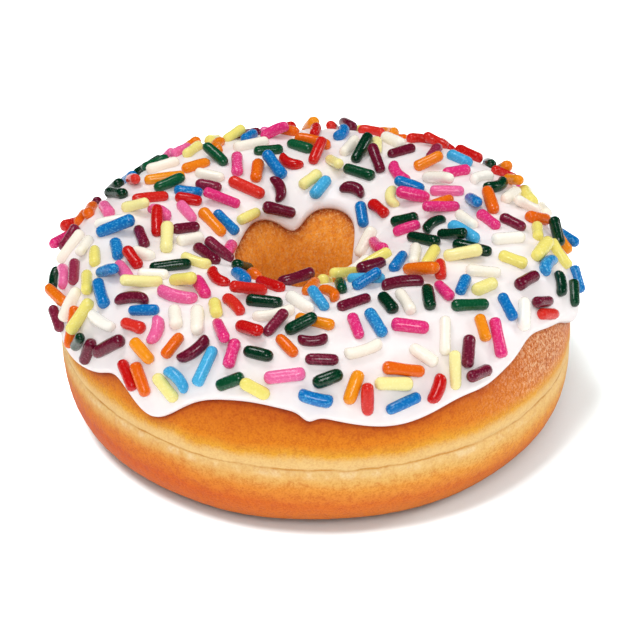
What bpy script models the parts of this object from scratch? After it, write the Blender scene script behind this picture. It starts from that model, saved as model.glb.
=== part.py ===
"""A raised ring doughnut with white icing over its top and sprinkles fused to the icing.

Metres, +Z up. The origin is on the surface that the doughnut rests on, under the middle of its outline.
The dough's section is a rounded square in four quarters, which meet at the ridge on top and at the crease
that runs round the side. A place on the skin is given by two angles in radians: turn goes round the ring
from +X, and tilt goes round the section, from 0 at the outer crease over the top to pi in the hole.
"""
import functools
import math
import random

import bmesh
import bpy
from mathutils import Matrix, Vector, geometry, noise

# The dough ring
RING_RADIUS = 0.0460
HOLE_RADIUS = 0.0096
HOLE_SHIFT = Vector((-0.0026, 0.0008))
SECTION_RADIUS = 0.0305
SECTION_FOLLOWS_HOLE = 0.4
CREASE_HEIGHT = 0.0154
CREASE_SLOPE = -0.0010
TOP_RISE = 0.0188
TOP_SLOPE = 0.05
BASE_DROP = 0.0160
OUTER_SQUARENESS = 2.6
HOLE_SQUARENESS = 2.9
LOWER_SQUARENESS = 2.8

# The skin's relief
LUMP_SIZE = 0.017
LUMP_REACH = (RING_RADIUS - HOLE_RADIUS) / 2
LUMP_HEIGHT = 0.0007
LOWER_LUMP_SHARE = 0.4
CREASE_DEPTH = 0.0007
CREASE_WIDTH = math.radians(2.4)
CREASE_WAVER = math.radians(1.6)
CREASE_WAVER_SIZE = 0.012

# The icing. Each lobe is where round the ring its middle is, how much it moves the edge and its half width,
# all in degrees: less tilt runs further down the side, and more tilt runs further into the hole.
ICING_GAP = 0.0003
ICING_THICKNESS = 0.0011
ICING_EDGE_SHARE = 0.45
ICING_EDGE_WIDTH = 0.035
OUTER_EDGE_TILT = 38
OUTER_LOBES = (
    (-158, -22, 22),
    (-139, 3, 4),
    (-126, -18, 7.5),
    (-104, 2.5, 9),
    (-91.5, -3.5, 1.8),
    (-73, -10.5, 15),
    (-51, -2.5, 6),
    (-33, 5.5, 7),
    (-10, -14, 8),
    (22, 3, 12),
    (52, -12, 12),
    (84, 2, 12),
    (112, -15, 10),
    (138, 3, 10),
    (163, -8, 9),
)
HOLE_EDGE_TILT = 144
HOLE_LOBES = (
    (132, -6, 19),
    (108, 7, 12),
    (77, -9.5, 31),
    (28, 13, 19),
    (-25, -4, 15),
    (-70, 5, 14),
    (-120, -4, 16),
    (-160, 5, 12),
)
HEAVY_DRIP_TURN = math.radians(-9)
HEAVY_DRIP_WIDTH = math.radians(13)
HEAVY_DRIP_EXTRA = 0.0009

# The sprinkles
SPRINKLE_COUNT = 280
SPRINKLE_SEED = 12
SPRINKLE_TRIES = 40000
SPRINKLE_LENGTH = (0.0050, 0.0076)
SPRINKLE_RADIUS = (0.00098, 0.00118)
SPRINKLE_BOW = (-0.0011, 0.0011)
BENT_SHARE = 0.25
SPRINKLE_SINK = 0.36
KEEL_DEPTH = 0.00055
MOST_LEAN = 0.0024
MAY_LEAN = 0.3
CLEARANCE = 1.03
CORE_INSET = 0.55
BOW_ROOM = 0.2
RIM_MARGIN = 0.03
SPARSE_RIM = 0.12
RIM_SHARE = 0.45
NEIGHBOUR_REACH = 0.011
LEAN_TRIES = 24
LEAN_STEP_SHARE = 1.2
LEAN_STEP_LEAST = 0.00005

# The solids' plain materials
CRUST_COLOUR, CRUST_ROUGHNESS = (0.72, 0.36, 0.10), 0.6
ICING_COLOUR, ICING_ROUGHNESS = (0.93, 0.90, 0.88), 0.35

# How finely the solids are faceted
DOUGH_ROUNDS = 48
DOUGH_ROWS = (
    -75, -57, -40, -24, -11, -5, -2, 0, 2, 5, 12, 25,
    40, 57, 78, 102, 125, 146, 166, 187, 209, 232, 255, 270,
)
ROWS_FOLLOW_CREASE = 20
BED_DEPTH = 0.0008
BED_MARGIN = 0.02
ICING_ROUNDS, ICING_TOP_ROWS, ICING_UNDER_ROWS = 48, 9, 7
EDGE_CROWDING = 0.25
FACET_BULGE = 0.0002
SPRINKLE_SIDES = 5
FACETED_WIDER = 1.06
KEEL_SIDES_BELOW = 0.5
KEEL_FROM_MIDDLE = 0.2
FRAME_STEP = math.radians(0.6)


def clear_scene():
    for obj in list(bpy.data.objects):
        bpy.data.objects.remove(obj)


def material(name, colour, roughness):
    made = bpy.data.materials.new(name)
    made.use_nodes = True
    shader = made.node_tree.nodes["Principled BSDF"]
    shader.inputs["Base Color"].default_value = (*colour, 1)
    shader.inputs["Roughness"].default_value = roughness
    shader.inputs["Metallic"].default_value = 0
    made.diffuse_color = (*colour, 1)
    return made


def hump(angle, middle, half_width):
    """A smooth hump of height 1, round a circle of angles in radians."""
    away = math.remainder(angle - middle, math.tau)
    return math.exp(-((away / half_width) ** 2))


@functools.lru_cache(maxsize=None)
def edge_tilt(degrees_round, plain_degrees, lobes):
    """The tilt of an edge of the icing, in radians."""
    turn = math.radians(degrees_round)
    moved = sum(
        reach * hump(turn, math.radians(middle), math.radians(half_width))
        for middle, reach, half_width in lobes
    )
    return math.radians(plain_degrees + moved)


def crease_tilt(turn):
    """The tilt of the crease, which wavers a little."""
    round_ring = Vector((math.cos(turn), math.sin(turn), 0)) * RING_RADIUS / CREASE_WAVER_SIZE
    return CREASE_WAVER * noise.noise(round_ring)


def section_middle(turn):
    """(distance from the axis, height) of the middle of the section."""
    outwards = Vector((math.cos(turn), math.sin(turn)))
    middle = SECTION_RADIUS + SECTION_FOLLOWS_HOLE * HOLE_SHIFT.dot(outwards)
    return middle, CREASE_HEIGHT + CREASE_SLOPE * outwards.x


def skin_point(turn, tilt):
    """A point of the dough's skin."""
    outwards = Vector((math.cos(turn), math.sin(turn)))
    shift = HOLE_SHIFT.dot(outwards)
    middle, middle_height = section_middle(turn)
    across, upward = math.cos(tilt), math.sin(tilt)
    width = RING_RADIUS - middle if across > 0 else middle - HOLE_RADIUS - shift
    if upward > 0:
        height = CREASE_HEIGHT + TOP_RISE * (1 + TOP_SLOPE * outwards.x) - middle_height
        squareness = OUTER_SQUARENESS if across > 0 else HOLE_SQUARENESS
    else:
        height = middle_height - CREASE_HEIGHT + BASE_DROP
        squareness = LOWER_SQUARENESS
    reach = (abs(across / width) ** squareness + abs(upward / height) ** squareness) ** (-1 / squareness)
    lump_place = Vector((middle * outwards.x, middle * outwards.y, 0))
    lump_place += Vector((outwards.x * across, outwards.y * across, upward)) * LUMP_REACH
    lumpy = LUMP_HEIGHT * max(upward, -LOWER_LUMP_SHARE * upward)
    reach += lumpy * noise.noise(lump_place / LUMP_SIZE)
    reach -= CREASE_DEPTH * hump(tilt, crease_tilt(turn), CREASE_WIDTH)
    from_axis = middle + reach * across
    z = max(middle_height + reach * upward, 0)
    return Vector((from_axis * outwards.x, from_axis * outwards.y, z))


def skin_frame(turn, tilt):
    """(point, outward normal, direction round the ring) on the dough's skin."""
    along = skin_point(turn + FRAME_STEP, tilt) - skin_point(turn - FRAME_STEP, tilt)
    over = skin_point(turn, tilt + FRAME_STEP) - skin_point(turn, tilt - FRAME_STEP)
    return skin_point(turn, tilt), along.cross(over).normalized(), along.normalized()


def icing_edges(turn):
    """(outer edge's tilt, tilt of the edge in the hole), read between whole degrees round the ring."""
    low = math.floor(math.degrees(turn))
    past = math.degrees(turn) - low
    edges = ((OUTER_EDGE_TILT, OUTER_LOBES), (HOLE_EDGE_TILT, HOLE_LOBES))
    return [edge_tilt(low, *edge) * (1 - past) + edge_tilt(low + 1, *edge) * past for edge in edges]


def icing_tilt(turn, share):
    """The tilt at a share of the way over the icing, from its outer edge to its edge in the hole."""
    outer, inner = icing_edges(turn)
    return outer + share * (inner - outer)


def icing_share(turn, tilt):
    """The share of the way over the icing that a tilt is, which is past 0 or 1 beyond the icing's edges."""
    outer, inner = icing_edges(turn)
    return (tilt - outer) / (inner - outer)


def icing_lift(turn, share):
    """The height of the icing's top face over the dough's skin."""
    to_edge = min(share, 1 - share) / ICING_EDGE_WIDTH
    rounded = math.sqrt(1 - (1 - min(to_edge, 1)) ** 2)
    thickness = ICING_THICKNESS
    if share < 0.5:
        thickness += HEAVY_DRIP_EXTRA * hump(turn, HEAVY_DRIP_TURN, HEAVY_DRIP_WIDTH) * (1 - 2 * share)
    return ICING_GAP + thickness * (ICING_EDGE_SHARE + (1 - ICING_EDGE_SHARE) * rounded)


def ring_of_rows(name, rounds, rows, place):
    """A closed ring, from a torus whose vertices are each put where place(turn, row) says."""
    bpy.ops.mesh.primitive_torus_add(major_segments=rounds, minor_segments=rows)
    ring = bpy.context.active_object
    ring.name = ring.data.name = name
    for vertex in ring.data.vertices:
        round_index, row = divmod(vertex.index, rows)
        vertex.co = place(math.tau * round_index / rounds, row)
    ring.data.shade_smooth()
    return ring


def dough_vertex(turn, row):
    """Rows near the crease follow its waver, and under the icing the wide facets lie a little deeper."""
    tilt = math.radians(DOUGH_ROWS[row])
    if abs(DOUGH_ROWS[row]) < ROWS_FOLLOW_CREASE:
        tilt += crease_tilt(turn)
    point, normal, _ = skin_frame(turn, tilt)
    bedded = BED_MARGIN < icing_share(turn, tilt) < 1 - BED_MARGIN
    return point - normal * BED_DEPTH if bedded else point


def icing_vertex(turn, row):
    """The first rows cross the icing's top face from the outer edge, and the last come back underneath."""
    on_top = row < ICING_TOP_ROWS
    even = row / (ICING_TOP_ROWS - 1) if on_top else 1 - (row - ICING_TOP_ROWS) / (ICING_UNDER_ROWS - 1)
    share = even - EDGE_CROWDING * math.sin(math.tau * even) / math.tau
    lift = icing_lift(turn, share) + FACET_BULGE if on_top else ICING_GAP
    point, normal, _ = skin_frame(turn, icing_tilt(turn, share))
    return point + lift * normal


def gap_between(first, second):
    """(distance between the two rods' lines, share along the first rod where they are nearest)."""
    a, b = first
    c, d = second
    best = (math.inf, 0)
    crossing = geometry.intersect_line_line(a, b, c, d)
    if crossing:
        on_first = (crossing[0] - a).dot(b - a) / (b - a).length_squared
        on_second = (crossing[1] - c).dot(d - c) / (d - c).length_squared
        if 0 <= on_first <= 1 and 0 <= on_second <= 1:
            best = ((crossing[0] - crossing[1]).length, on_first)
    for end, share in ((a, 0), (b, 1)):
        along = min(max((end - c).dot(d - c) / (d - c).length_squared, 0), 1)
        best = min(best, ((end - c - along * (d - c)).length, share))
    for end in (c, d):
        along = min(max((end - a).dot(b - a) / (b - a).length_squared, 0), 1)
        best = min(best, ((end - a - along * (b - a)).length, along))
    return best


def over_icing(point, up):
    """(height of a point over the icing's top face, its share of the way over the icing)."""
    turn = math.atan2(point.y, point.x)
    middle, middle_height = section_middle(turn)
    tilt = math.atan2(point.z - middle_height, point.xy.length - middle)
    share = icing_share(turn, tilt)
    return (point - skin_point(turn, tilt)).dot(up) - icing_lift(turn, min(max(share, 0), 1)), share


def settle(ends, up, radius):
    """The rod's ends once it is moved up or down to lie on the icing, sunk a little into it."""
    inset = (ends[1] - ends[0]).normalized() * radius * CORE_INSET
    places = (ends[0] + inset, (ends[0] + ends[1]) / 2, ends[1] - inset)
    lowest = min(over_icing(place, up)[0] for place in places)
    down = up * (lowest - radius * (1 - SPRINKLE_SINK))
    return [end - down for end in ends]


def lean_clear(ends, up, radius, bow, most_lean, laid):
    """(the rod's ends, which one was raised to lean on what is there already), or no ends if it can't."""
    room = radius + BOW_ROOM * abs(bow)
    middle = (ends[0] + ends[1]) / 2
    near = [other for other in laid if (other["middle"] - middle).length < NEIGHBOUR_REACH]
    raised = 0
    high = None
    for _ in range(LEAN_TRIES):
        worst, where = 0, 0
        inset = (ends[1] - ends[0]).normalized() * radius * CORE_INSET
        for other in near:
            distance, share = gap_between((ends[0] + inset, ends[1] - inset), other["core"])
            lack = CLEARANCE * (room + other["radius"] + BOW_ROOM * abs(other["bow"])) - distance
            if lack > worst:
                worst, where = lack, share
        if worst <= 0:
            return ends, high
        higher = 1 if where > 0.5 else 0
        if high not in (None, higher):
            break
        high = higher
        step = worst * LEAN_STEP_SHARE + LEAN_STEP_LEAST
        raised += step
        if raised > most_lean:
            break
        ends = list(ends)
        ends[high] = ends[high] + up * step
        ends = settle(ends, up, radius)
    return None, None


def lay_sprinkle(draw, laid):
    """One sprinkle drawn at random, or None if it has no room."""
    turn = draw.uniform(-math.pi, math.pi)
    share = draw.uniform(RIM_MARGIN, 1 - RIM_MARGIN)
    heading = draw.uniform(0, math.pi)
    length = draw.uniform(*SPRINKLE_LENGTH)
    radius = draw.uniform(*SPRINKLE_RADIUS)
    bow = draw.uniform(*SPRINKLE_BOW) if draw.random() < BENT_SHARE else 0
    most_lean = MOST_LEAN if draw.random() < MAY_LEAN else 0
    keep = draw.random()
    point, up, along = skin_frame(turn, icing_tilt(turn, share))
    wanted = point.xy.length / RING_RADIUS
    if share < SPARSE_RIM:
        wanted *= RIM_SHARE
    if keep > wanted:
        return None
    middle = point + up * (icing_lift(turn, share) + radius * (1 - SPRINKLE_SINK))
    forward = Matrix.Rotation(heading, 3, up) @ along
    ends = settle([middle - forward * length / 2, middle + forward * length / 2], up, radius)
    if not all(RIM_MARGIN < over_icing(end, up)[1] < 1 - RIM_MARGIN for end in ends):
        return None
    ends, high = lean_clear(ends, up, radius, bow, most_lean, laid)
    if ends is None:
        return None
    inset = (ends[1] - ends[0]).normalized() * radius * CORE_INSET
    return {
        "ends": ends,
        "high": high,
        "core": (ends[0] + inset, ends[1] - inset),
        "middle": (ends[0] + ends[1]) / 2,
        "up": up,
        "radius": radius,
        "bow": bow,
    }


def sow_sprinkles():
    """Where the sprinkles lie: drawn evenly over the icing, some leaning on others."""
    draw = random.Random(SPRINKLE_SEED)
    laid = []
    for _ in range(SPRINKLE_TRIES):
        sprinkle = lay_sprinkle(draw, laid)
        if sprinkle:
            laid.append(sprinkle)
        if len(laid) == SPRINKLE_COUNT:
            break
    return laid


def make_sprinkle(sprinkle, collection):
    """A blunt five-sided rod, bowed sideways if it is a bent one. Where it lies on the icing it has a keel."""
    start, end = sprinkle["ends"]
    forward = (end - start).normalized()
    sideways = sprinkle["up"].cross(forward).normalized()
    axes = Matrix((sideways, forward.cross(sideways), forward)).transposed()
    half = (end - start).length / 2
    rod = bmesh.new()
    width = sprinkle["radius"] * FACETED_WIDER
    bmesh.ops.create_cone(
        rod, cap_ends=True, segments=SPRINKLE_SIDES, radius1=width, radius2=width, depth=2 * half
    )
    if sprinkle["bow"]:
        whole = rod.verts[:] + rod.edges[:] + rod.faces[:]
        bmesh.ops.bisect_plane(rod, geom=whole, plane_co=(0, 0, 0), plane_no=(0, 0, 1))
    for vertex in rod.verts:
        high = sprinkle["high"]
        lies = high is None or vertex.co.z * (1 - 2 * high) > KEEL_FROM_MIDDLE * half
        if lies and vertex.co.y < -KEEL_SIDES_BELOW * width:
            vertex.co.y = -sprinkle["radius"] * (1 - SPRINKLE_SINK) - KEEL_DEPTH
        vertex.co.x += sprinkle["bow"] * (0.5 - (vertex.co.z / half) ** 2)
        vertex.co = sprinkle["middle"] + axes @ vertex.co
    mesh = bpy.data.meshes.new("sprinkle")
    rod.to_mesh(mesh)
    rod.free()
    made = bpy.data.objects.new("sprinkle", mesh)
    collection.objects.link(made)


def fuse_sprinkles(icing, sprinkles):
    """Joins the sprinkles to the icing as one solid."""
    collection = bpy.data.collections.new("sprinkles to fuse")
    bpy.context.scene.collection.children.link(collection)
    for sprinkle in sprinkles:
        make_sprinkle(sprinkle, collection)
    fuse = icing.modifiers.new("fuse sprinkles", "BOOLEAN")
    fuse.operation = "UNION"
    fuse.solver = "EXACT"
    fuse.operand_type = "COLLECTION"
    fuse.collection = collection
    bpy.context.view_layer.objects.active = icing
    bpy.ops.object.modifier_apply(modifier=fuse.name)
    for obj in list(collection.objects):
        bpy.data.objects.remove(obj)
    bpy.data.collections.remove(collection)
    drop_loose(icing)


def drop_loose(obj):
    """Keeps only the largest body of a mesh, without any sprinkle that doesn't reach the icing."""
    mesh = bmesh.new()
    mesh.from_mesh(obj.data)
    bodies = []
    unseen = set(mesh.verts)
    while unseen:
        body = edge_of_body = {unseen.pop()}
        while edge_of_body:
            edge_of_body = {edge.other_vert(v) for v in edge_of_body for edge in v.link_edges} & unseen
            unseen -= edge_of_body
            body = body | edge_of_body
        bodies.append(body)
    bodies.sort(key=len)
    loose = [vertex for body in bodies[:-1] for vertex in body]
    bmesh.ops.delete(mesh, geom=loose, context="VERTS")
    mesh.to_mesh(obj.data)
    mesh.free()


def main():
    clear_scene()
    doughnut = bpy.data.collections.new("sprinkle frosted doughnut")
    bpy.context.scene.collection.children.link(doughnut)
    dough = ring_of_rows("dough", DOUGH_ROUNDS, len(DOUGH_ROWS), dough_vertex)
    dough.data.materials.append(material("fried dough", CRUST_COLOUR, CRUST_ROUGHNESS))
    icing = ring_of_rows("icing", ICING_ROUNDS, ICING_TOP_ROWS + ICING_UNDER_ROWS, icing_vertex)
    fuse_sprinkles(icing, sow_sprinkles())
    icing.data.materials.clear()
    icing.data.materials.append(material("white icing", ICING_COLOUR, ICING_ROUGHNESS))
    for obj in (dough, icing):
        for holder in list(obj.users_collection):
            holder.objects.unlink(obj)
        doughnut.objects.link(obj)


main()
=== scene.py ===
import functools
import math
import random

import bmesh
import bpy
from mathutils import Matrix, Vector, geometry, kdtree, noise


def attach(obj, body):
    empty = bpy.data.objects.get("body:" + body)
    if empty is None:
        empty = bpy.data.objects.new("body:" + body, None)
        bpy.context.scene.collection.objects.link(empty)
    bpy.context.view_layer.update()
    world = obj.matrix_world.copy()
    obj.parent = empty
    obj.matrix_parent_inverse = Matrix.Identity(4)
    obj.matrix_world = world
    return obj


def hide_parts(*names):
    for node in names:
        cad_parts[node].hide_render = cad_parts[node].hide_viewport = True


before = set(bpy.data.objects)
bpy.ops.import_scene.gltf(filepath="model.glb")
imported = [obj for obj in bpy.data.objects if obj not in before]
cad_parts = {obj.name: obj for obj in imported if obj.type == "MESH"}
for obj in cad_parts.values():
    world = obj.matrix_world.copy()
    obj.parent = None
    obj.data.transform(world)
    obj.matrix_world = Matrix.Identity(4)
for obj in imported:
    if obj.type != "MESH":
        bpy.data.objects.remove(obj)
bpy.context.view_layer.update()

# The doughnut's own sizes, in metres. A place on its skin is given by turn, round the ring from +X, and by
# tilt, round the section from the outer crease over the top and into the hole.
RING_RADIUS = 0.0460
HOLE_RADIUS = 0.0096
HOLE_SHIFT = Vector((-0.0026, 0.0008))
SECTION_RADIUS = 0.0305
SECTION_FOLLOWS_HOLE = 0.4
CREASE_HEIGHT = 0.0154
CREASE_SLOPE = -0.0010
TOP_RISE = 0.0188
TOP_SLOPE = 0.05
BASE_DROP = 0.0160
OUTER_SQUARENESS = 2.6
HOLE_SQUARENESS = 2.9
LOWER_SQUARENESS = 2.8

# The skin's relief
LUMP_SIZE = 0.017
LUMP_REACH = (RING_RADIUS - HOLE_RADIUS) / 2
LUMP_HEIGHT = 0.0007
LOWER_LUMP_SHARE = 0.4
CREASE_DEPTH = 0.0007
CREASE_WIDTH = math.radians(2.4)
CREASE_WAVER = math.radians(1.6)
CREASE_WAVER_SIZE = 0.012

# The icing. Each lobe is where round the ring its middle is, how much it moves the edge and its half width,
# all in degrees: less tilt runs further down the side, and more tilt runs further into the hole.
ICING_GAP = 0.0003
ICING_THICKNESS = 0.0011
ICING_EDGE_SHARE = 0.45
ICING_EDGE_WIDTH = 0.035
OUTER_EDGE_TILT = 38
OUTER_LOBES = (
    (-158, -22, 22),
    (-139, 3, 4),
    (-126, -18, 7.5),
    (-104, 2.5, 9),
    (-91.5, -3.5, 1.8),
    (-73, -10.5, 15),
    (-51, -2.5, 6),
    (-33, 5.5, 7),
    (-10, -14, 8),
    (22, 3, 12),
    (52, -12, 12),
    (84, 2, 12),
    (112, -15, 10),
    (138, 3, 10),
    (163, -8, 9),
)
HOLE_EDGE_TILT = 144
HOLE_LOBES = (
    (132, -6, 19),
    (108, 7, 12),
    (77, -9.5, 31),
    (28, 13, 19),
    (-25, -4, 15),
    (-70, 5, 14),
    (-120, -4, 16),
    (-160, 5, 12),
)
HEAVY_DRIP_TURN = math.radians(-9)
HEAVY_DRIP_WIDTH = math.radians(13)
HEAVY_DRIP_EXTRA = 0.0009

# The sprinkles
SPRINKLE_COUNT = 280
SPRINKLE_SEED = 12
SPRINKLE_TRIES = 40000
SPRINKLE_LENGTH = (0.0050, 0.0076)
SPRINKLE_RADIUS = (0.00098, 0.00118)
SPRINKLE_BOW = (-0.0011, 0.0011)
BENT_SHARE = 0.25
SPRINKLE_SINK = 0.36
MOST_LEAN = 0.0024
MAY_LEAN = 0.3
CLEARANCE = 1.03
CORE_INSET = 0.55
BOW_ROOM = 0.2
RIM_MARGIN = 0.03
SPARSE_RIM = 0.12
RIM_SHARE = 0.45
NEIGHBOUR_REACH = 0.011
LEAN_TRIES = 24
LEAN_STEP_SHARE = 1.2
LEAN_STEP_LEAST = 0.00005

# How far round and over the skin a normal is measured
FRAME_STEP = math.radians(0.6)


def hump(angle, middle, half_width):
    """A smooth hump of height 1, round a circle of angles in radians."""
    away = math.remainder(angle - middle, math.tau)
    return math.exp(-((away / half_width) ** 2))


@functools.lru_cache(maxsize=None)
def edge_tilt(degrees_round, plain_degrees, lobes):
    """The tilt of an edge of the icing, in radians."""
    turn = math.radians(degrees_round)
    moved = sum(
        reach * hump(turn, math.radians(middle), math.radians(half_width))
        for middle, reach, half_width in lobes
    )
    return math.radians(plain_degrees + moved)


def crease_tilt(turn):
    """The tilt of the crease, which wavers a little."""
    round_ring = Vector((math.cos(turn), math.sin(turn), 0)) * RING_RADIUS / CREASE_WAVER_SIZE
    return CREASE_WAVER * noise.noise(round_ring)


def section_middle(turn):
    """(distance from the axis, height) of the middle of the section."""
    outwards = Vector((math.cos(turn), math.sin(turn)))
    middle = SECTION_RADIUS + SECTION_FOLLOWS_HOLE * HOLE_SHIFT.dot(outwards)
    return middle, CREASE_HEIGHT + CREASE_SLOPE * outwards.x


def skin_point(turn, tilt):
    """A point of the dough's skin."""
    outwards = Vector((math.cos(turn), math.sin(turn)))
    shift = HOLE_SHIFT.dot(outwards)
    middle, middle_height = section_middle(turn)
    across, upward = math.cos(tilt), math.sin(tilt)
    width = RING_RADIUS - middle if across > 0 else middle - HOLE_RADIUS - shift
    if upward > 0:
        height = CREASE_HEIGHT + TOP_RISE * (1 + TOP_SLOPE * outwards.x) - middle_height
        squareness = OUTER_SQUARENESS if across > 0 else HOLE_SQUARENESS
    else:
        height = middle_height - CREASE_HEIGHT + BASE_DROP
        squareness = LOWER_SQUARENESS
    reach = (abs(across / width) ** squareness + abs(upward / height) ** squareness) ** (-1 / squareness)
    lump_place = Vector((middle * outwards.x, middle * outwards.y, 0))
    lump_place += Vector((outwards.x * across, outwards.y * across, upward)) * LUMP_REACH
    lumpy = LUMP_HEIGHT * max(upward, -LOWER_LUMP_SHARE * upward)
    reach += lumpy * noise.noise(lump_place / LUMP_SIZE)
    reach -= CREASE_DEPTH * hump(tilt, crease_tilt(turn), CREASE_WIDTH)
    from_axis = middle + reach * across
    z = max(middle_height + reach * upward, 0)
    return Vector((from_axis * outwards.x, from_axis * outwards.y, z))


def skin_frame(turn, tilt):
    """(point, outward normal, direction round the ring) on the dough's skin."""
    along = skin_point(turn + FRAME_STEP, tilt) - skin_point(turn - FRAME_STEP, tilt)
    over = skin_point(turn, tilt + FRAME_STEP) - skin_point(turn, tilt - FRAME_STEP)
    return skin_point(turn, tilt), along.cross(over).normalized(), along.normalized()


def icing_edges(turn):
    """(outer edge's tilt, tilt of the edge in the hole), read between whole degrees round the ring."""
    low = math.floor(math.degrees(turn))
    past = math.degrees(turn) - low
    edges = ((OUTER_EDGE_TILT, OUTER_LOBES), (HOLE_EDGE_TILT, HOLE_LOBES))
    return [edge_tilt(low, *edge) * (1 - past) + edge_tilt(low + 1, *edge) * past for edge in edges]


def icing_tilt(turn, share):
    """The tilt at a share of the way over the icing, from its outer edge to its edge in the hole."""
    outer, inner = icing_edges(turn)
    return outer + share * (inner - outer)


def icing_share(turn, tilt):
    """The share of the way over the icing that a tilt is, which is past 0 or 1 beyond the icing's edges."""
    outer, inner = icing_edges(turn)
    return (tilt - outer) / (inner - outer)


def icing_lift(turn, share):
    """The height of the icing's top face over the dough's skin."""
    to_edge = min(share, 1 - share) / ICING_EDGE_WIDTH
    rounded = math.sqrt(1 - (1 - min(to_edge, 1)) ** 2)
    thickness = ICING_THICKNESS
    if share < 0.5:
        thickness += HEAVY_DRIP_EXTRA * hump(turn, HEAVY_DRIP_TURN, HEAVY_DRIP_WIDTH) * (1 - 2 * share)
    return ICING_GAP + thickness * (ICING_EDGE_SHARE + (1 - ICING_EDGE_SHARE) * rounded)


# Where the sprinkles lie


def gap_between(first, second):
    """(distance between the two rods' lines, share along the first rod where they are nearest)."""
    a, b = first
    c, d = second
    best = (math.inf, 0)
    crossing = geometry.intersect_line_line(a, b, c, d)
    if crossing:
        on_first = (crossing[0] - a).dot(b - a) / (b - a).length_squared
        on_second = (crossing[1] - c).dot(d - c) / (d - c).length_squared
        if 0 <= on_first <= 1 and 0 <= on_second <= 1:
            best = ((crossing[0] - crossing[1]).length, on_first)
    for end, share in ((a, 0), (b, 1)):
        along = min(max((end - c).dot(d - c) / (d - c).length_squared, 0), 1)
        best = min(best, ((end - c - along * (d - c)).length, share))
    for end in (c, d):
        along = min(max((end - a).dot(b - a) / (b - a).length_squared, 0), 1)
        best = min(best, ((end - a - along * (b - a)).length, along))
    return best


def over_icing(point, up):
    """(height of a point over the icing's top face, its share of the way over the icing)."""
    turn = math.atan2(point.y, point.x)
    middle, middle_height = section_middle(turn)
    tilt = math.atan2(point.z - middle_height, point.xy.length - middle)
    share = icing_share(turn, tilt)
    return (point - skin_point(turn, tilt)).dot(up) - icing_lift(turn, min(max(share, 0), 1)), share


def settle(ends, up, radius):
    """The rod's ends, moved up or down until it lies on the icing, sunk a little into it."""
    inset = (ends[1] - ends[0]).normalized() * radius * CORE_INSET
    places = (ends[0] + inset, (ends[0] + ends[1]) / 2, ends[1] - inset)
    lowest = min(over_icing(place, up)[0] for place in places)
    down = up * (lowest - radius * (1 - SPRINKLE_SINK))
    return [end - down for end in ends]


def lean_clear(ends, up, radius, bow, most_lean, laid):
    """The rod's ends, one of them raised to lean on what is there already, or None if it can't."""
    room = radius + BOW_ROOM * abs(bow)
    middle = (ends[0] + ends[1]) / 2
    near = [other for other in laid if (other["middle"] - middle).length < NEIGHBOUR_REACH]
    raised = 0
    high = None
    for _ in range(LEAN_TRIES):
        worst, where = 0, 0
        inset = (ends[1] - ends[0]).normalized() * radius * CORE_INSET
        for other in near:
            distance, share = gap_between((ends[0] + inset, ends[1] - inset), other["core"])
            lack = CLEARANCE * (room + other["radius"] + BOW_ROOM * abs(other["bow"])) - distance
            if lack > worst:
                worst, where = lack, share
        if worst <= 0:
            return ends
        higher = 1 if where > 0.5 else 0
        if high not in (None, higher):
            break
        high = higher
        step = worst * LEAN_STEP_SHARE + LEAN_STEP_LEAST
        raised += step
        if raised > most_lean:
            break
        ends = list(ends)
        ends[high] = ends[high] + up * step
        ends = settle(ends, up, radius)
    return None


def lay_sprinkle(draw, laid):
    """One sprinkle drawn at random, or None if it has no room."""
    turn = draw.uniform(-math.pi, math.pi)
    share = draw.uniform(RIM_MARGIN, 1 - RIM_MARGIN)
    heading = draw.uniform(0, math.pi)
    length = draw.uniform(*SPRINKLE_LENGTH)
    radius = draw.uniform(*SPRINKLE_RADIUS)
    bow = draw.uniform(*SPRINKLE_BOW) if draw.random() < BENT_SHARE else 0
    most_lean = MOST_LEAN if draw.random() < MAY_LEAN else 0
    keep = draw.random()
    point, up, along = skin_frame(turn, icing_tilt(turn, share))
    wanted = point.xy.length / RING_RADIUS
    if share < SPARSE_RIM:
        wanted *= RIM_SHARE
    if keep > wanted:
        return None
    middle = point + up * (icing_lift(turn, share) + radius * (1 - SPRINKLE_SINK))
    forward = Matrix.Rotation(heading, 3, up) @ along
    ends = settle([middle - forward * length / 2, middle + forward * length / 2], up, radius)
    if not all(RIM_MARGIN < over_icing(end, up)[1] < 1 - RIM_MARGIN for end in ends):
        return None
    ends = lean_clear(ends, up, radius, bow, most_lean, laid)
    if ends is None:
        return None
    inset = (ends[1] - ends[0]).normalized() * radius * CORE_INSET
    return {
        "ends": ends,
        "core": (ends[0] + inset, ends[1] - inset),
        "middle": (ends[0] + ends[1]) / 2,
        "up": up,
        "radius": radius,
        "bow": bow,
    }


def sow_sprinkles():
    """Where the sprinkles lie: drawn evenly over the icing, some leaning on others."""
    draw = random.Random(SPRINKLE_SEED)
    laid = []
    for _ in range(SPRINKLE_TRIES):
        sprinkle = lay_sprinkle(draw, laid)
        if sprinkle:
            laid.append(sprinkle)
        if len(laid) == SPRINKLE_COUNT:
            break
    return laid


# Help with materials


def linear(red, green, blue):
    """A colour given as it shows on a screen, 0 to 255, as a shader takes it."""

    def one(value):
        value /= 255
        return value / 12.92 if value <= 0.04045 else ((value + 0.055) / 1.055) ** 2.4

    return (one(red), one(green), one(blue), 1)


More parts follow.
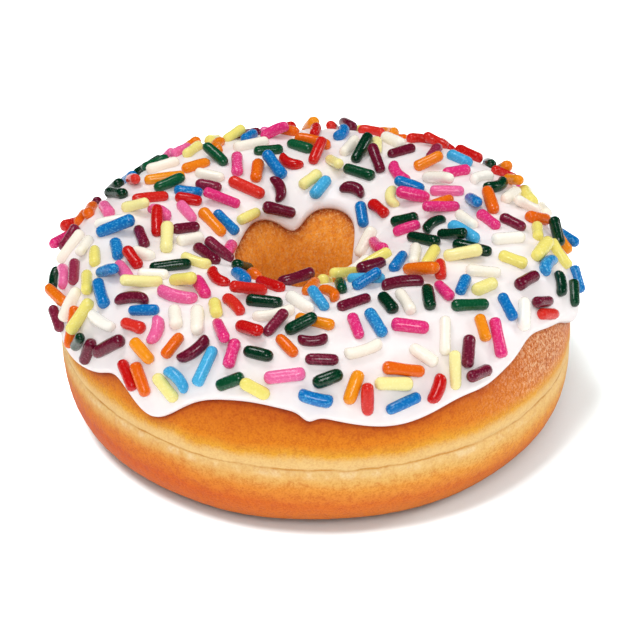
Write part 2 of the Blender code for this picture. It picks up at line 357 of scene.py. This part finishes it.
class Finish:
    """A material being put together, and the nodes that its patterns are made of."""

    def __init__(self, name):
        self.material = bpy.data.materials.new(name)
        self.material.use_nodes = True
        self.tree = self.material.node_tree
        self.shader = self.tree.nodes["Principled BSDF"]
        self.place = self.node("ShaderNodeTexCoord").outputs["Object"]

    def node(self, kind, **values):
        made = self.tree.nodes.new(kind)
        for name, value in values.items():
            setattr(made, name, value)
        return made

    def put(self, socket, value):
        """Gives a socket a value, or joins it to another node's output."""
        if hasattr(value, "is_output"):
            self.tree.links.new(value, socket)
        else:
            socket.default_value = value

    def attribute(self, name):
        """What the mesh's vertices carry under this name."""
        return self.node("ShaderNodeAttribute", attribute_name=name).outputs["Fac"]

    def noise(self, size, detail=4, roughness=0.55, stretch=(1, 1, 1), twist=0.0):
        """Soft noise whose patches are about this size in metres."""
        mapping = self.node("ShaderNodeMapping")
        self.put(mapping.inputs["Vector"], self.place)
        mapping.inputs["Scale"].default_value = stretch
        made = self.node("ShaderNodeTexNoise")
        self.put(made.inputs["Vector"], mapping.outputs["Vector"])
        made.inputs["Scale"].default_value = 1 / size
        made.inputs["Detail"].default_value = detail
        made.inputs["Roughness"].default_value = roughness
        made.inputs["Distortion"].default_value = twist
        return made.outputs["Fac"]

    def about_zero(self, noise_value):
        return self.math("SUBTRACT", noise_value, 0.5)

    def math(self, kind, first, second=0.0, third=0.0):
        made = self.node("ShaderNodeMath", operation=kind)
        for socket, value in zip(made.inputs, (first, second, third)):
            self.put(socket, value)
        return made.outputs[0]

    def spread(self, value, low, high, to_low=0.0, to_high=1.0):
        """The value's range from low to high stretched to another range, smoothly."""
        made = self.node("ShaderNodeMapRange", interpolation_type="SMOOTHSTEP")
        for socket, given in zip(made.inputs, (value, low, high, to_low, to_high)):
            self.put(socket, given)
        return made.outputs[0]

    def ramp(self, value, stops):
        """Colours along a value, from (position, colour) stops."""
        made = self.node("ShaderNodeValToRGB")
        self.put(made.inputs["Fac"], value)
        points = made.color_ramp.elements
        while len(points) < len(stops):
            points.new(0.5)
        for point, (position, colour) in zip(points, stops):
            point.position = position
            point.color = colour
        return made.outputs["Color"]

    def blend(self, share, first, second, kind="MIX"):
        made = self.node("ShaderNodeMix", data_type="RGBA", blend_type=kind)
        self.put(made.inputs[0], share)
        self.put(made.inputs[6], first)
        self.put(made.inputs[7], second)
        return made.outputs[2]

    def relief(self, height, distance, strength=1.0, under=None):
        """Fine relief of this height in metres, over another relief if one is given."""
        made = self.node("ShaderNodeBump")
        self.put(made.inputs["Strength"], strength)
        made.inputs["Distance"].default_value = distance
        self.put(made.inputs["Height"], height)
        if under:
            self.put(made.inputs["Normal"], under)
        return made.outputs["Normal"]

    def set(self, **values):
        """Sets the shader's sockets, named with _ for a space."""
        for name, value in values.items():
            self.put(self.shader.inputs[name.replace("_", " ")], value)
        return self.material


# The pieces

# How many places each mesh has round the ring and over its section, and how its rows crowd together
CRUST_ROUNDS, CRUST_ROWS = 600, 150
CRUST_CROWDING = 0.25
ICING_ROUNDS, ICING_TOP_ROWS, ICING_UNDER_ROWS = 600, 141, 24
ICING_EDGE_CROWDING = 0.6
WELD = 0.000001

# The crust is sunk a little under the icing, from so many degrees in from the icing's edge. The icing's
# underside lies just over the crust's own height.
UNDER_ICING = 0.0003
UNDER_ICING_FROM = 0.6
ICING_REST = 0.00002

# The skin's own fine relief: its height and the size of its patches. The wrinkles are on the browned front
# right only, and come in between two heights over the crease, in degrees.
WRINKLE_HEIGHT, WRINKLE_SIZE = 0.00014, 0.0012
WRINKLE_STRETCH = 0.45
WRINKLES_COME_IN = (6, 16)
RESTS_BELOW = 3 * WRINKLE_HEIGHT
CREASE_FILLED, CREASE_FILLED_VARIES = 0.45, 0.35
CREASE_CRACK_SIZE = 0.0023
GRAIN_HEIGHT, GRAIN_SIZE = 0.00006, 0.0017
BROWNED_TURN = math.radians(-26)
BROWNED_WIDTH = math.radians(17)

# The icing's soft waves, and the fillet that it makes round each sprinkle
WAVE_HEIGHT, WAVE_SIZE = 0.00009, 0.0065
FILLET_HEIGHT = 0.00022
FILLET_WIDTH = 0.00042
FILLET_REACH = 3 * FILLET_WIDTH
FILLET_LETS_GO = 1.5

# The icing's round edge: the section's radius, which makes a length of a tilt, and the edge's width for the
# icing's thickness
SECTION_REACH = 0.019
EDGE_ROUNDNESS = 0.9

# The sprinkles' rods: their sides and rows, how each may differ, and the small lumps in their sides. A rod is
# drawn from a ball, whose middle half becomes the shaft and whose ends become the caps.
ROD_SIDES, ROD_ROWS = 12, 12
SHAFT_LEVEL = 0.5
LEVEL_SLACK = 0.01
TIP = 0.001
CAP_SHARE = (0.75, 1.0)
CAP_BLUNTNESS = 0.9
SWELL = (-0.05, 0.05)
SWELLS_ALONG = 3
SLANT = (-0.07, 0.07)
FLATNESS = (0.94, 1)
ROD_LUMPS = (0, 100)
ROD_LUMP_SHARE = 0.05
ROD_LUMPS_ROUND, ROD_LUMPS_ALONG = 1.3, 2


def ring_sheet(rounds, rows, *measures):
    """(a flat sheet to roll into a ring, its vertices with their places, the layers of what they carry)."""
    mesh = bmesh.new()
    layers = [mesh.verts.layers.float.new(measure) for measure in measures]
    bmesh.ops.create_grid(mesh, x_segments=rounds, y_segments=rows, size=1)
    places = []
    for vertex in mesh.verts:
        round_index = round((vertex.co.x + 1) / 2 * rounds) % rounds
        row = round((vertex.co.y + 1) / 2 * rows) % rows
        places.append((vertex, round_index, row))
    return mesh, places, layers


def close_ring(mesh):
    """Welds the sheet's edges where they meet and turns its faces outwards."""
    rim = [vertex for vertex in mesh.verts if vertex.is_boundary]
    bmesh.ops.remove_doubles(mesh, verts=rim, dist=WELD)
    bmesh.ops.recalc_face_normals(mesh, faces=mesh.faces)


def finished(name, mesh, material, node):
    """Makes a smooth piece of a mesh, and sets what it replaces."""
    data = bpy.data.meshes.new(name)
    mesh.to_mesh(data)
    mesh.free()
    data.shade_smooth()
    data.materials.append(material)
    piece = bpy.data.objects.new(name, data)
    bpy.context.scene.collection.objects.link(piece)
    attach(piece, "root")
    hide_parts(node)


def smooth_step(value, low, high):
    """0 below the low value and 1 above the high one, with a smooth rise between."""
    share = min(max((value - low) / (high - low), 0), 1)
    return share * share * (3 - 2 * share)


def make_crust(material):
    """The dough's crust. Its vertices carry how many degrees they are from the crease and from the icing."""
    mesh, places, layers = ring_sheet(CRUST_ROUNDS, CRUST_ROWS, "from_crease", "from_icing", "browned")
    from_crease, from_icing, browned = layers
    for vertex, round_index, row in places:
        turn = math.tau * round_index / CRUST_ROUNDS
        around = math.tau * row / CRUST_ROWS
        tilt = around - CRUST_CROWDING * math.sin(2 * around)
        outer, inner = icing_edges(turn)
        side = math.remainder(tilt, math.tau)
        vertex[from_crease] = math.degrees(math.remainder(side - crease_tilt(turn), math.tau))
        vertex[from_icing] = math.degrees(max(outer - side, side - inner if side > 0 else outer - side))
        vertex[browned] = hump(turn, BROWNED_TURN, BROWNED_WIDTH)
        vertex.co = skin_point(turn, tilt)
    close_ring(mesh)
    mesh.normal_update()
    for vertex in mesh.verts:
        away = vertex[from_icing]
        if away < -UNDER_ICING_FROM:
            vertex.co -= vertex.normal * UNDER_ICING
            continue
        if vertex.co.z < RESTS_BELOW:
            continue
        grain = GRAIN_HEIGHT * noise.noise(vertex.co / GRAIN_SIZE)
        up_side = smooth_step(vertex[from_crease], *WRINKLES_COME_IN)
        stretched = Vector((vertex.co.x, vertex.co.y, vertex.co.z * WRINKLE_STRETCH)) / WRINKLE_SIZE
        wrinkle = WRINKLE_HEIGHT * vertex[browned] * up_side * noise.noise(stretched)
        in_crease = hump(math.radians(vertex[from_crease]), 0, CREASE_WIDTH)
        filled = CREASE_FILLED + CREASE_FILLED_VARIES * noise.noise(vertex.co / CREASE_CRACK_SIZE)
        vertex.co += vertex.normal * (grain + wrinkle + CREASE_DEPTH * filled * in_crease)
    finished("dough_crust", mesh, material, "dough")


def icing_surface(turn, share):
    """The height of the icing's own surface over the crust, with its round edge and soft thick rim."""
    outer, inner = icing_edges(turn)
    from_edge = min(share, 1 - share) * (inner - outer) * SECTION_REACH
    thickness = icing_lift(turn, 0.5) if share > 0.5 else icing_lift(turn, max(share, ICING_EDGE_WIDTH))
    over_edge = min(from_edge / (thickness * EDGE_ROUNDNESS), 1)
    rounded = math.sqrt(1 - (1 - over_edge) ** 2)
    return ICING_REST + (thickness - ICING_REST) * rounded


def even_share(even):
    """A share of the way over the icing, from one that is evenly spaced: its rows crowd towards the edges."""
    return even - ICING_EDGE_CROWDING * math.sin(math.tau * even) / math.tau


def make_icing(material, laid):
    """The icing's coat: its top face with a fillet round each sprinkle, and its underside on the crust."""
    rows = ICING_TOP_ROWS + ICING_UNDER_ROWS
    shares = [even_share(row / (ICING_TOP_ROWS - 1)) for row in range(ICING_TOP_ROWS)]
    shares += [even_share(1 - (row + 1) / (ICING_UNDER_ROWS + 1)) for row in range(ICING_UNDER_ROWS)]
    turns = [math.remainder(math.tau * index / ICING_ROUNDS, math.tau) for index in range(ICING_ROUNDS)]
    sheet = [[skin_point(turn, icing_tilt(turn, share)) for share in shares] for turn in turns]
    tree = kdtree.KDTree(ICING_ROUNDS * ICING_TOP_ROWS)
    lifts, normals = {}, {}
    for index, turn in enumerate(turns):
        before, line, after = sheet[index - 1], sheet[index], sheet[(index + 1) % ICING_ROUNDS]
        for row, point in enumerate(line):
            place = index * rows + row
            over = line[(row + 1) % rows] - line[row - 1]
            if row in (0, ICING_TOP_ROWS - 1):
                over = line[1] - line[0] if row == 0 else line[row] - line[row - 1]
            elif row > ICING_TOP_ROWS - 1:
                over = -over
            normals[place] = (after[row] - before[row]).cross(over).normalized()
            if row >= ICING_TOP_ROWS:
                lifts[place] = ICING_REST
                continue
            rounded = icing_surface(turn, shares[row])
            wave = WAVE_HEIGHT * noise.noise(point / WAVE_SIZE) * min(rounded / ICING_THICKNESS, 1)
            tree.insert(point + normals[place] * rounded, place)
            lifts[place] = rounded + wave
    tree.balance()
    raised = {}
    for sprinkle in laid:
        raise_fillet(sprinkle, tree, raised)
    mesh, places, _ = ring_sheet(ICING_ROUNDS, rows)
    for vertex, index, row in places:
        place = index * rows + row
        vertex.co = sheet[index][row] + normals[place] * (lifts[place] + raised.get(place, 0))
    close_ring(mesh)
    finished("icing_coat", mesh, material, "icing")


def raise_fillet(sprinkle, tree, raised):
    """Draws the icing up a little along a sprinkle that lies in it."""
    start, end = sprinkle["core"]
    along = end - start
    reach = along.length / 2 + sprinkle["radius"] + FILLET_REACH
    wet = sprinkle["radius"] * math.sqrt(1 - (1 - SPRINKLE_SINK) ** 2)
    for point, place, _ in tree.find_range(sprinkle["middle"], reach):
        share = min(max((point - start).dot(along) / along.length_squared, 0), 1)
        nearest = start + along * share
        gap = (nearest - point).dot(sprinkle["up"])
        held = 1 - smooth_step(gap, sprinkle["radius"], sprinkle["radius"] * FILLET_LETS_GO)
        aside = point - nearest
        aside -= sprinkle["up"] * aside.dot(sprinkle["up"])
        away = max(aside.length - wet, 0)
        height = held * FILLET_HEIGHT * math.exp(-((away / FILLET_WIDTH) ** 2))
        raised[place] = max(raised.get(place, 0), height)


def make_rods(name, sprinkles, material, draw):
    """All the sprinkles of one colour, each a round-ended rod with its own bend, swell and shade."""
    plain = bmesh.new()
    bmesh.ops.create_uvsphere(plain, u_segments=ROD_SIDES, v_segments=ROD_ROWS, radius=1)
    bmesh.ops.recalc_face_normals(plain, faces=plain.faces)
    plain_rod = bpy.data.meshes.new("plain rod")
    plain.to_mesh(plain_rod)
    plain.free()
    mesh = bmesh.new()
    shade = mesh.verts.layers.float.new("shade")
    for sprinkle in sprinkles:
        start, end = sprinkle["ends"]
        forward = (end - start).normalized()
        sideways = sprinkle["up"].cross(forward).normalized()
        axes = Matrix((sideways, forward.cross(sideways), forward)).transposed()
        radius, bow = sprinkle["radius"], sprinkle["bow"]
        half = (end - start).length / 2
        tone = draw.random()
        swell, slant, flat = draw.uniform(*SWELL), draw.uniform(*SLANT), draw.uniform(*FLATNESS)
        lumps = draw.uniform(*ROD_LUMPS)
        cap = radius * draw.uniform(*CAP_SHARE)
        mesh.from_mesh(plain_rod)
        mesh.verts.ensure_lookup_table()
        for vertex in mesh.verts[-len(plain_rod.vertices):]:
            unit = vertex.co.copy()
            level = math.asin(max(-1, min(1, unit.z))) / (math.pi / 2)
            if abs(level) <= SHAFT_LEVEL + LEVEL_SLACK:
                along = level / SHAFT_LEVEL * (half - cap)
                wide = 1
            else:
                over_end = (abs(level) - SHAFT_LEVEL) / (1 - SHAFT_LEVEL) * math.pi / 2
                along = math.copysign(half - cap + cap * math.sin(over_end), level)
                wide = math.cos(over_end) ** CAP_BLUNTNESS if over_end < math.pi / 2 - TIP else 0
            share = along / half
            width = radius * wide * (1 + swell * math.cos(SWELLS_ALONG * share) + slant * share)
            lump_place = unit * ROD_LUMPS_ROUND + Vector((lumps, share * ROD_LUMPS_ALONG, 0))
            width *= 1 + ROD_LUMP_SHARE * noise.noise(lump_place)
            across = unit.xy.normalized() * width if wide > TIP else Vector((0, 0))
            across.x += bow * (0.5 - share**2)
            vertex.co = sprinkle["middle"] + axes @ Vector((across.x, across.y * flat, along))
            vertex[shade] = tone
    bpy.data.meshes.remove(plain_rod)
    finished(name, mesh, material, "icing")


# The finishes

# How the crust's colour goes, from under the ring (0) past the crease (0.5) to the top (1)
CRUST_BANDS = (
    (0.05, linear(180, 90, 32)),
    (0.22, linear(225, 137, 56)),
    (0.35, linear(224, 121, 40)),
    (0.415, linear(236, 162, 66)),
    (0.452, linear(236, 188, 106)),
    (0.50, linear(238, 203, 138)),
    (0.535, linear(237, 197, 126)),
    (0.562, linear(234, 168, 52)),
    (0.60, linear(228, 134, 22)),
    (0.68, linear(214, 113, 20)),
    (0.84, linear(210, 107, 22)),
    (0.93, linear(255, 163, 50)),
)
BANDS_SPAN = 180

# The grain's tint, over the bands, from its dark specks to its pale ones
SPECK_TINTS = (
    (0.41, linear(235, 206, 184)),
    (0.50, linear(248, 241, 234)),
    (0.58, linear(255, 255, 255)),
)

# The coarse browned crust at the front right, from its red-brown hollows to its pale tops, which are painted
# glints (painted highlights)
COARSE_TINTS_AND_GLINTS = (
    (0.36, linear(184, 78, 26)),
    (0.48, linear(230, 134, 56)),
    (0.60, linear(255, 228, 188)),
)
BROWN_BY_ICING = linear(184, 74, 12)
# Painted shade: the crust's darkest red-brown right at the icing's edge, as shade under its lip
SHADE_BY_ICING_EDGE = linear(150, 52, 10)
LEFT_TINT = linear(245, 202, 146)
CREASE_LINE = linear(206, 140, 48)
TORN_PALE = linear(246, 222, 176)
# The pale colour of the painted glints, painted highlights on the wall of the hole
PAINTED_WALL_GLINT = linear(255, 206, 140)

# The sizes of its patches, in metres
PATCH = 0.009
MOTTLE = 0.0013
SPECK = 0.00036
COARSE = 0.00048
TORN = 0.0021

# How far the bands and the crease's line stray, in degrees
BANDS_WANDER_WIDELY = 9.0
BANDS_WANDER_FINELY = 6.0
LINE_WOBBLE = 3.0

# Where each colour comes in or fades: from one value to another, and how strong it is at each. Values are
# metres from left to right, degrees over the crease, degrees from the icing's edge, or the noise's own.
LEFT_SIDE = (-0.044, 0.02, 1.0, 0.0)
BELOW_CREASE = (-14, 2, 1.0, 0.0)
NEAR_ICING = (-4.0, 11.0, 0.9, 0.0)
# Painted contact shade, fading out from the icing's edge
ICING_EDGE_SHADE = (0.0, 3.4, 0.75, 0.0)
COARSE_FROM = (8, 22)
COARSE_STRENGTH = 0.85
HOLE_WALL = (92, 108)
# Painted glints: painted highlights on the wall of the hole
PAINTED_GLINTS = (0.47, 0.64, 0.0, 0.55)
LINE_WIDTH = (0.4, 1.9, 1.0, 0.0)
LINE_STRENGTH = (0.35, 0.6, 0.4, 0.8)
LIP_COMES_IN = (-7, -3)
LIP_FADES = (-2.2, -0.8, 1.0, 0.0)
TORN_BITS = (0.48, 0.66, 0.0, 0.5)
GRAIN_BY_MOTTLE, GRAIN_BY_SPECKS = 0.4, 0.6
GRAIN_FROM_CREASE = (4, 13, 0.5, 1.0)

# How high its fine relief is, in metres, and how rough it is
MOTTLE_RELIEF, SPECK_RELIEF, COARSE_RELIEF = 0.00022, 0.00004, 0.0003
WALL_RELIEF_SHARE = 0.5
CRUST_ROUGHNESS = (0.3, 0.7, 0.48, 0.64)
COARSE_SMOOTHED = -0.15
CRUST_SHINE = 0.16


def crust_finish():
    """Fried crust: brown by the icing, golden to straw at the crease, orange brown and mottled below."""
    finish = Finish("fried_crust")
    tilt = finish.attribute("from_crease")
    away = finish.attribute("from_icing")
    browned = finish.attribute("browned")
    mottle = finish.noise(MOTTLE, detail=5, roughness=0.65)
    fine = finish.noise(SPECK, detail=3, roughness=0.7)
    widely = finish.about_zero(finish.noise(PATCH, detail=3))
    wander = finish.math("MULTIPLY", widely, BANDS_WANDER_WIDELY)
    wander = finish.math("MULTIPLY_ADD", finish.about_zero(mottle), BANDS_WANDER_FINELY, wander)
    wandering = finish.math("ADD", tilt, wander)
    colour = finish.ramp(finish.math("MULTIPLY_ADD", wandering, 1 / BANDS_SPAN, 0.5), CRUST_BANDS)

    # Warmer on the lower left, browner towards the icing, and darkest right at the icing's edge with painted
    # contact shade under its lip
    across = finish.node("ShaderNodeSeparateXYZ")
    finish.put(across.inputs[0], finish.place)
    left = finish.spread(across.outputs["X"], *LEFT_SIDE)
    below = finish.spread(wandering, *BELOW_CREASE)
    colour = finish.blend(finish.math("MULTIPLY", left, below), colour, LEFT_TINT, "MULTIPLY")
    near = finish.spread(finish.math("ADD", away, wander), *NEAR_ICING)
    colour = finish.blend(near, colour, BROWN_BY_ICING)
    # Painted contact shade right at the icing's edge
    colour = finish.blend(finish.spread(away, *ICING_EDGE_SHADE), colour, SHADE_BY_ICING_EDGE)

    # The coarse crust at the front right, with painted glints on its tops, and painted glints (painted
    # highlights) on the wall of the hole
    coarse = finish.noise(COARSE, detail=4, roughness=0.75, stretch=(1, 1, 0.8), twist=0.5)
    patch = finish.math("MULTIPLY", browned, finish.spread(wandering, *COARSE_FROM))
    strength = finish.math("MULTIPLY", patch, COARSE_STRENGTH)
    # The coarse crust's own browns, with painted highlights on its tops
    colour = finish.blend(strength, colour, finish.ramp(coarse, COARSE_TINTS_AND_GLINTS))
    wall = finish.spread(finish.math("ABSOLUTE", tilt), *HOLE_WALL)
    # Painted highlights: pale glints painted on the wall of the hole
    painted_glint = finish.math("MULTIPLY", wall, finish.spread(coarse, *PAINTED_GLINTS))
    colour = finish.blend(painted_glint, colour, PAINTED_WALL_GLINT)

    # The crease's broken line, with a torn pale lip under it
    torn = finish.about_zero(finish.noise(TORN, detail=3))
    wobble = finish.math("MULTIPLY_ADD", torn, LINE_WOBBLE, tilt)
    line = finish.spread(finish.math("ABSOLUTE", wobble), *LINE_WIDTH)
    breaks = finish.spread(finish.noise(PATCH / 2, detail=2), *LINE_STRENGTH)
    colour = finish.blend(finish.math("MULTIPLY", line, breaks), colour, CREASE_LINE)
    lip = finish.math("MULTIPLY", finish.spread(tilt, *LIP_COMES_IN), finish.spread(tilt, *LIP_FADES))
    bits = finish.spread(finish.noise(TORN, detail=4), *TORN_BITS)
    colour = finish.blend(finish.math("MULTIPLY", lip, bits), colour, TORN_PALE)

    # The grain, which is fainter near the crease
    specks = finish.math("MULTIPLY", fine, GRAIN_BY_SPECKS)
    grain = finish.math("MULTIPLY_ADD", mottle, GRAIN_BY_MOTTLE, specks)
    clear = finish.spread(finish.math("ABSOLUTE", wandering), *GRAIN_FROM_CREASE)
    colour = finish.blend(clear, colour, finish.ramp(grain, SPECK_TINTS), "MULTIPLY")
    normal = finish.relief(mottle, MOTTLE_RELIEF)
    normal = finish.relief(fine, SPECK_RELIEF, under=normal)
    uneven = finish.math("MAXIMUM", patch, finish.math("MULTIPLY", wall, WALL_RELIEF_SHARE))
    normal = finish.relief(coarse, COARSE_RELIEF, uneven, under=normal)
    rough = finish.spread(mottle, *CRUST_ROUGHNESS)
    rough = finish.math("MULTIPLY_ADD", patch, COARSE_SMOOTHED, rough)
    return finish.set(
        Base_Color=colour, Roughness=rough, Normal=normal, Specular_IOR_Level=CRUST_SHINE
    )


# The icing's faint clouds and ripples: their sizes and relief in metres, and how rough it is
ICING_CLOUD, ICING_RIPPLE = 0.006, 0.003
ICING_TINTS = ((0.3, linear(245, 236, 236)), (0.7, linear(250, 244, 242)))
RIPPLE_RELIEF = 0.0001
ICING_ROUGHNESS = (0.3, 0.7, 0.3, 0.42)


def icing_finish():
    """White icing: smooth, glossy and a little milky."""
    finish = Finish("white_icing")
    cloud = finish.noise(ICING_CLOUD, detail=3)
    return finish.set(
        Base_Color=finish.ramp(cloud, ICING_TINTS),
        Roughness=finish.spread(cloud, *ICING_ROUGHNESS),
        Normal=finish.relief(finish.noise(ICING_RIPPLE, detail=2), RIPPLE_RELIEF),
        Specular_IOR_Level=0.35,
        Subsurface_Weight=0.15,
        Subsurface_Scale=0.0015,
        Subsurface_Radius=(1.0, 0.8, 0.75),
    )


# The sprinkles' pits, and how pale and how pitted a rod is by its own shade
PIT, PIT_RELIEF = 0.00036, 0.00006
PITS_OPEN = (0.5, 0.66)
PALE_RODS = (0.45, 1.0, 0.0, 0.65)
PITTED_RODS = (0.2, 0.7, 0.35, 1.0)
ROD_ROUGHNESS = (0.35, 0.7, 0.16, 0.3)


def sprinkle_finish(name, plain, pale, pitted):
    """Glossy candy of one colour, paler on some rods, with small pits that show the pale inside."""
    finish = Finish(name)
    shade = finish.attribute("shade")
    pits = finish.noise(PIT, detail=2, roughness=0.5)
    colour = finish.blend(finish.spread(shade, *PALE_RODS), plain, pale)
    open_pits = finish.spread(pits, *PITS_OPEN, 0.0, pitted)
    shown = finish.math("MULTIPLY", open_pits, finish.spread(shade, *PITTED_RODS))
    return finish.set(
        Base_Color=finish.blend(shown, colour, pale),
        Roughness=finish.spread(pits, *ROD_ROUGHNESS),
        Normal=finish.relief(pits, PIT_RELIEF),
        Specular_IOR_Level=0.32,
        Coat_Weight=0.3,
        Coat_Roughness=0.06,
    )


# Each colour of sprinkle: its name, its own colour, its pale inside and how strongly its pits show
SPRINKLE_COLOURS = (
    ("sprinkles_blue", linear(0, 110, 184), linear(84, 194, 236), 0.75),
    ("sprinkles_pink", linear(224, 42, 118), linear(243, 128, 180), 0.8),
    ("sprinkles_red", linear(196, 12, 12), linear(230, 58, 44), 0.4),
    ("sprinkles_orange", linear(230, 98, 6), linear(246, 164, 20), 0.3),
    ("sprinkles_yellow", linear(240, 226, 116), linear(250, 242, 178), 0.4),
    ("sprinkles_white", linear(250, 242, 226), linear(255, 252, 244), 0.3),
    ("sprinkles_green", linear(0, 46, 26), linear(16, 98, 58), 0.4),
    ("sprinkles_plum", linear(100, 12, 40), linear(164, 52, 84), 0.5),
)
DEAL_SEED = 5
ROD_SEED = 8


def colour_deal(count):
    """A colour for each sprinkle, in equal shares, shuffled."""
    deal = [index % len(SPRINKLE_COLOURS) for index in range(count)]
    random.Random(DEAL_SEED).shuffle(deal)
    return deal


def make_doughnut():
    laid = sow_sprinkles()
    make_crust(crust_finish())
    make_icing(icing_finish(), laid)
    deal = colour_deal(len(laid))
    draw = random.Random(ROD_SEED)
    for index, (name, plain, pale, pitted) in enumerate(SPRINKLE_COLOURS):
        rods = [sprinkle for sprinkle, colour in zip(laid, deal) if colour == index]
        make_rods(name, rods, sprinkle_finish(name, plain, pale, pitted), draw)


# The studio

# The floor's colour as the camera sees it, and the one that it throws on the doughnut
FLOOR_SEEN = (0.86, 0.95, 0.965, 1)
FLOOR_BOUNCE = (0.5, 0.5, 0.5, 1)
FLOOR_HALF_WIDTH = 3
WORLD_STRENGTH = 0.66

# Each lamp's name, place, width and power. They all point at the middle of the doughnut.
LAMPS = (
    ("key", (-0.18, 0.12, 0.75), 0.25, 1.5),
    ("front", (0.0, -0.65, 0.62), 0.3, 2.1),
    ("right", (0.7, 0.1, 0.35), 0.15, 0.8),
)
FLOOR_LAMP = ("over the floor", (-0.3, -0.3, 1), 0.4, 14.5)
LAMPS_AIM = (0, 0, 0.02)


def make_floor():
    mesh = bmesh.new()
    bmesh.ops.create_grid(mesh, x_segments=1, y_segments=1, size=FLOOR_HALF_WIDTH)
    data = bpy.data.meshes.new("floor")
    mesh.to_mesh(data)
    mesh.free()
    finish = Finish("studio_floor")
    seen = finish.node("ShaderNodeLightPath").outputs["Is Camera Ray"]
    colour = finish.blend(seen, FLOOR_BOUNCE, FLOOR_SEEN)
    data.materials.append(finish.set(Base_Color=colour, Roughness=0.9, Specular_IOR_Level=0.1))
    floor = bpy.data.objects.new("floor", data)
    bpy.context.scene.collection.objects.link(floor)
    return floor


def aim(obj, place, target):
    """Puts a lamp or camera at a place, facing the target."""
    obj.location = place
    obj.rotation_euler = (Vector(target) - Vector(place)).to_track_quat("-Z", "Y").to_euler()
    bpy.context.scene.collection.objects.link(obj)


def soft_light(name, place, width, power):
    light = bpy.data.lights.new(name, "AREA")
    light.shape = "DISK"
    light.size = width
    light.energy = power
    lamp = bpy.data.objects.new(name, light)
    aim(lamp, place, LAMPS_AIM)
    return lamp


def make_studio():
    """A white room with soft lamps. One more lamp lights the floor alone."""
    floor = make_floor()
    world = bpy.data.worlds.new("studio")
    bpy.context.scene.world = world
    world.use_nodes = True
    background = world.node_tree.nodes["Background"]
    background.inputs["Color"].default_value = (1, 1, 1, 1)
    background.inputs["Strength"].default_value = WORLD_STRENGTH
    world.cycles_visibility.glossy = False
    for lamp in LAMPS:
        soft_light(*lamp)
    floor_only = bpy.data.collections.new("floor only")
    floor_only.objects.link(floor)
    overhead = soft_light(*FLOOR_LAMP)
    overhead.light_linking.receiver_collection = floor_only
    bpy.context.scene.view_settings.view_transform = "Standard"


# The camera looks along +Y and down. The picture's middle is a little right of the ring's middle and a little
# over its crease.
CAMERA_ELEVATION = math.radians(32.28)
CAMERA_DISTANCE = 0.5
CAMERA_LENS = 154.86
CAMERA_SENSOR = 36
CAMERA_NEAREST = 0.01
AIM_RIGHT, AIM_UP = 0.00076, 0.00082


def make_camera():
    camera = bpy.data.cameras.new("camera")
    camera.lens = CAMERA_LENS
    camera.sensor_width = CAMERA_SENSOR
    camera.clip_start = CAMERA_NEAREST
    look = Vector((0, math.cos(CAMERA_ELEVATION), -math.sin(CAMERA_ELEVATION)))
    image_up = Vector((0, math.sin(CAMERA_ELEVATION), math.cos(CAMERA_ELEVATION)))
    target = Vector((AIM_RIGHT, 0, CREASE_HEIGHT)) + image_up * AIM_UP
    holder = bpy.data.objects.new("camera", camera)
    aim(holder, target - look * CAMERA_DISTANCE, target)
    bpy.context.scene.camera = holder


make_doughnut()
make_studio()
make_camera()
bpy.context.view_layer.update()
